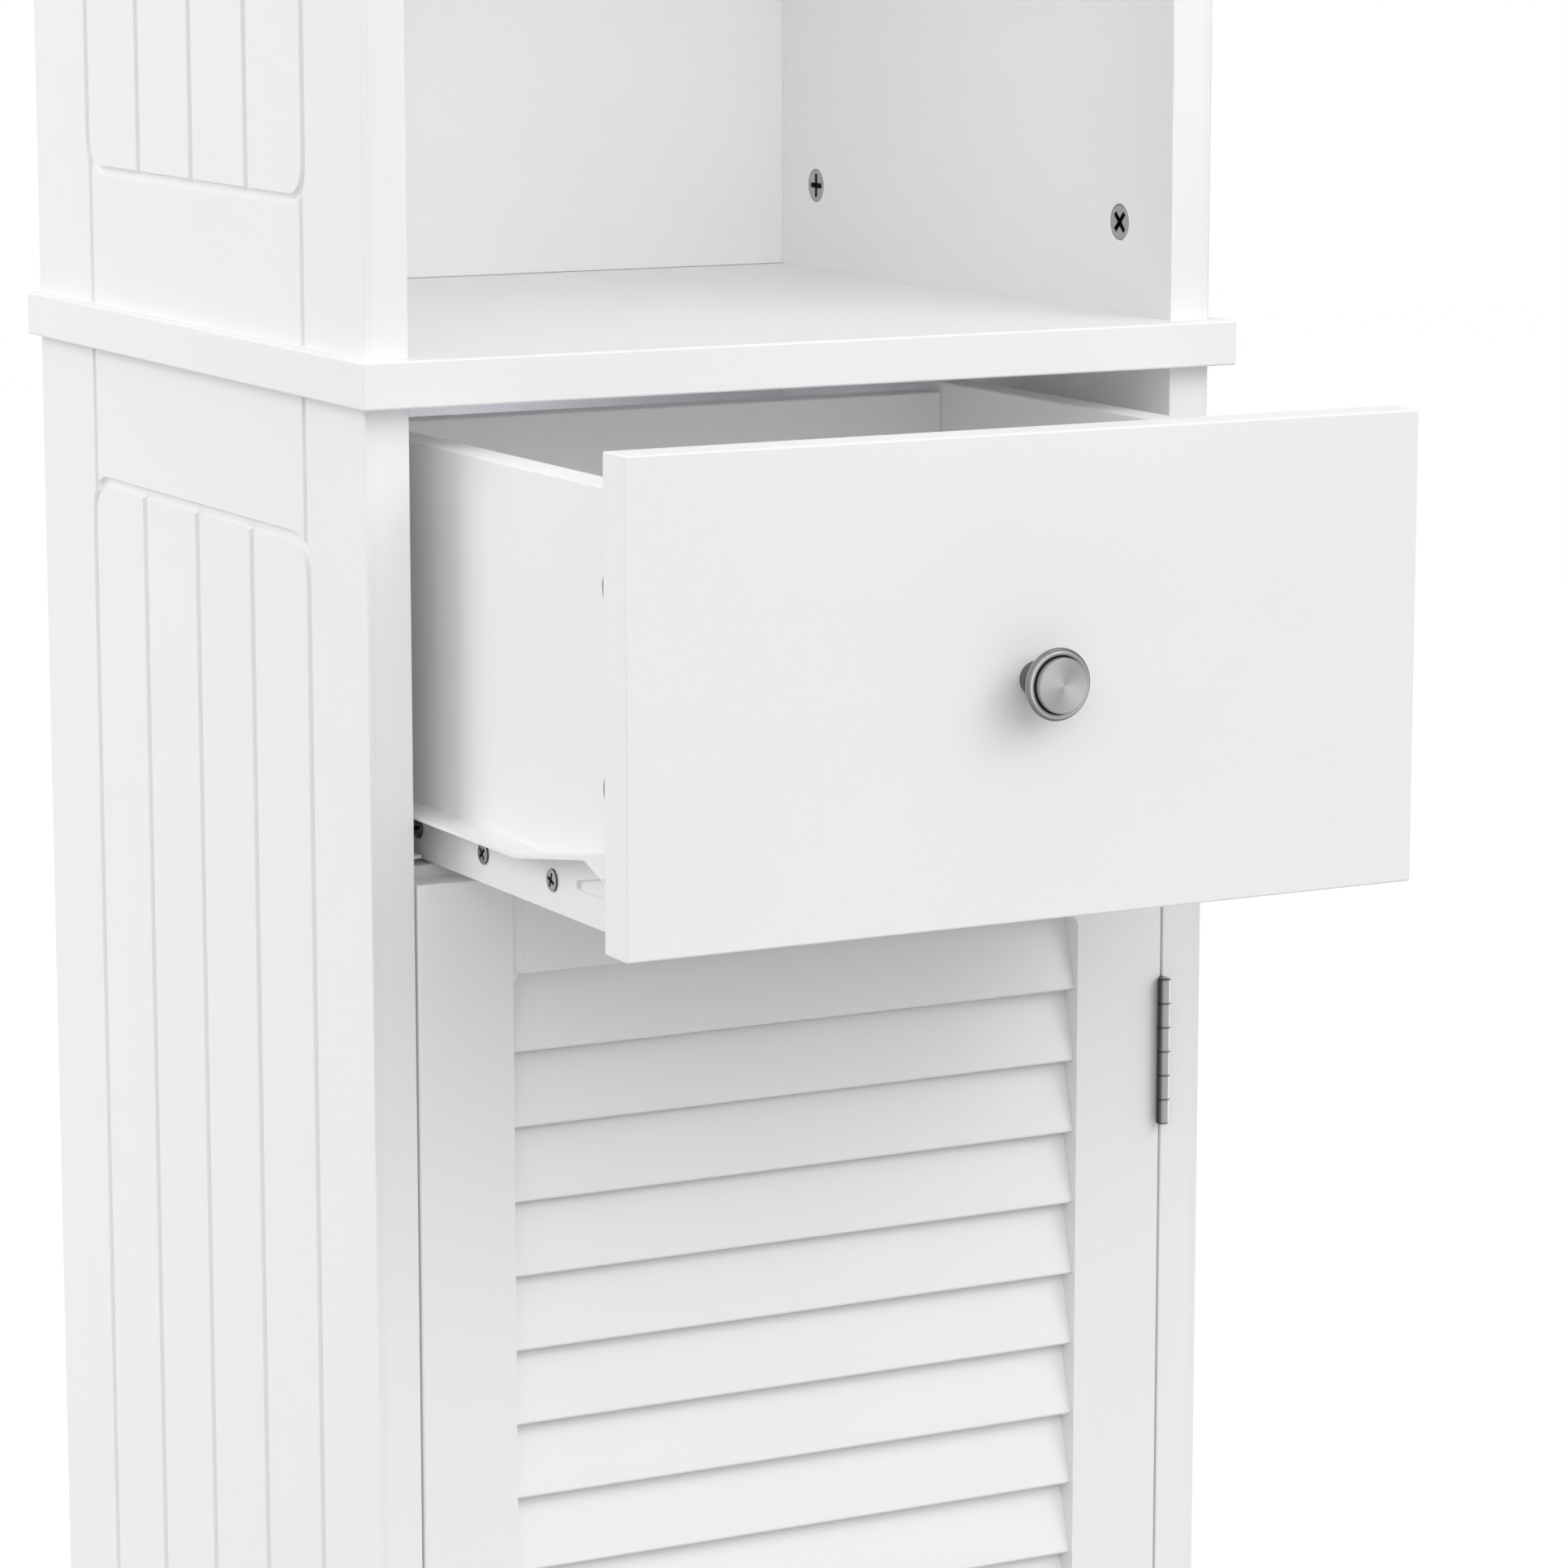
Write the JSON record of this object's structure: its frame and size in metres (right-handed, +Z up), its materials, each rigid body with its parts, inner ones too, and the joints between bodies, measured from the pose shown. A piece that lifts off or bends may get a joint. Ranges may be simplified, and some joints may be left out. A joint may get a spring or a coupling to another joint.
{
  "type": "bathroom storage tower",
  "caption": "Tall narrow white cabinet with two louvred doors, an open compartment between boards and a drawer on roller slides.",
  "frame": {"origin": "on the floor, in the middle of the width, in the plane of the front edges of the side panels", "axes": "+X to the right seen from the front, +Y to the back, +Z up"},
  "size_m": [0.32, 0.457, 1.7],
  "materials": {
    "white_board": "white satin lacquer on board, edges lightly rounded",
    "white_back": "white lacquered hardboard",
    "white_inner": "white melamine faced board",
    "white_epoxy": "white epoxy coated sheet steel",
    "nickel": "brushed nickel, satin",
    "zinc": "zinc plated, matt",
    "white_plastic": "moulded white plastic",
    "beech": "plain beech"
  },
  "bodies": {
    "cabinet": {"lower_side_left": "white_board", "lower_side_right": "white_board", "upper_side_left": "white_board", "upper_side_right": "white_board", "plinth": "white_board", "bottom_board": "white_inner", "divider_board": "white_inner", "mid_board": "white_board", "compartment_board": "white_board", "top_board": "white_board", "lower_back_panel": "white_back", "upper_back_panel": "white_back", "lower_shelf": "white_inner", "upper_shelf": "white_inner", "shelf_pins": "zinc", "carcass_cams": "zinc", "carcass_cam_bolts": "zinc", "mid_cam_bolts": "zinc", "carcass_dowels": "beech", "rail_left": "white_epoxy", "rail_right": "white_epoxy", "rail_screws": "zinc", "rail_axles": "zinc", "hinge_frame_leaves": "nickel", "hinge_pins": "nickel", "frame_screws": "zinc", "magnet_catches": "white_plastic", "wall_bracket": "zinc"},
    "drawer": {"drawer_front": "white_board", "drawer_side_left": "white_inner", "drawer_side_right": "white_inner", "drawer_back": "white_inner", "drawer_bottom": "white_back", "runner_left": "white_epoxy", "runner_right": "white_epoxy", "runner_screws": "zinc", "runner_axles": "zinc", "drawer_cams": "zinc", "drawer_cam_bolts": "zinc", "drawer_knob": "nickel", "drawer_knob_screw": "zinc"},
    "lower_door": {"lower_door_frame": "white_board", "lower_door_slats": "white_board", "lower_door_knob": "nickel", "lower_door_knob_screw": "zinc", "lower_door_leaves": "nickel", "lower_door_screws": "zinc", "lower_strike_plate": "zinc"},
    "upper_door": {"upper_door_frame": "white_board", "upper_door_slats": "white_board", "upper_door_knob": "nickel", "upper_door_knob_screw": "zinc", "upper_door_leaves": "nickel", "upper_door_screws": "zinc", "upper_strike_plate": "zinc"},
    "rail_roller_left": {"rail_roller_left": "white_plastic"},
    "rail_roller_right": {"rail_roller_right": "white_plastic"},
    "runner_roller_left": {"runner_roller_left": "white_plastic"},
    "runner_roller_right": {"runner_roller_right": "white_plastic"}
  },
  "joints": [
    {"name": "drawer_slide", "type": "slide", "parent": "cabinet", "child": "drawer", "axis": [0, -1, 0], "range_m": [-0.15, 0.035]},
    {"name": "lower_door_hinge", "type": "hinge", "parent": "cabinet", "child": "lower_door", "pos_m": [0.1391, -0.0026, 0.3755], "axis": [0, 0, 1], "range_deg": [0, 180]},
    {"name": "upper_door_hinge", "type": "hinge", "parent": "cabinet", "child": "upper_door", "pos_m": [0.1391, -0.0026, 1.387], "axis": [0, 0, 1], "range_deg": [0, 180]},
    {"name": "rail_roller_left_spin", "type": "hinge", "parent": "cabinet", "child": "rail_roller_left", "pos_m": [-0.1347, 0.041, 0.6852], "axis": [1, 0, 0], "range_deg": [-1230, 290]},
    {"name": "runner_roller_left_spin", "type": "hinge", "parent": "drawer", "child": "runner_roller_left", "pos_m": [-0.13325, 0.1085, 0.6852], "axis": [1, 0, 0], "range_deg": [-1230, 290]},
    {"name": "rail_roller_right_spin", "type": "hinge", "parent": "cabinet", "child": "rail_roller_right", "pos_m": [0.1347, 0.041, 0.6852], "axis": [1, 0, 0], "range_deg": [-1230, 290]},
    {"name": "runner_roller_right_spin", "type": "hinge", "parent": "drawer", "child": "runner_roller_right", "pos_m": [0.13325, 0.1085, 0.6852], "axis": [1, 0, 0], "range_deg": [-1230, 290]}
  ],
  "couplings": [
    {"joint": "rail_roller_left_spin", "follows": "drawer_slide", "rad_per_m": 142.86},
    {"joint": "runner_roller_left_spin", "follows": "drawer_slide", "rad_per_m": 142.86},
    {"joint": "rail_roller_right_spin", "follows": "drawer_slide", "rad_per_m": 142.86},
    {"joint": "runner_roller_right_spin", "follows": "drawer_slide", "rad_per_m": 142.86}
  ]
}
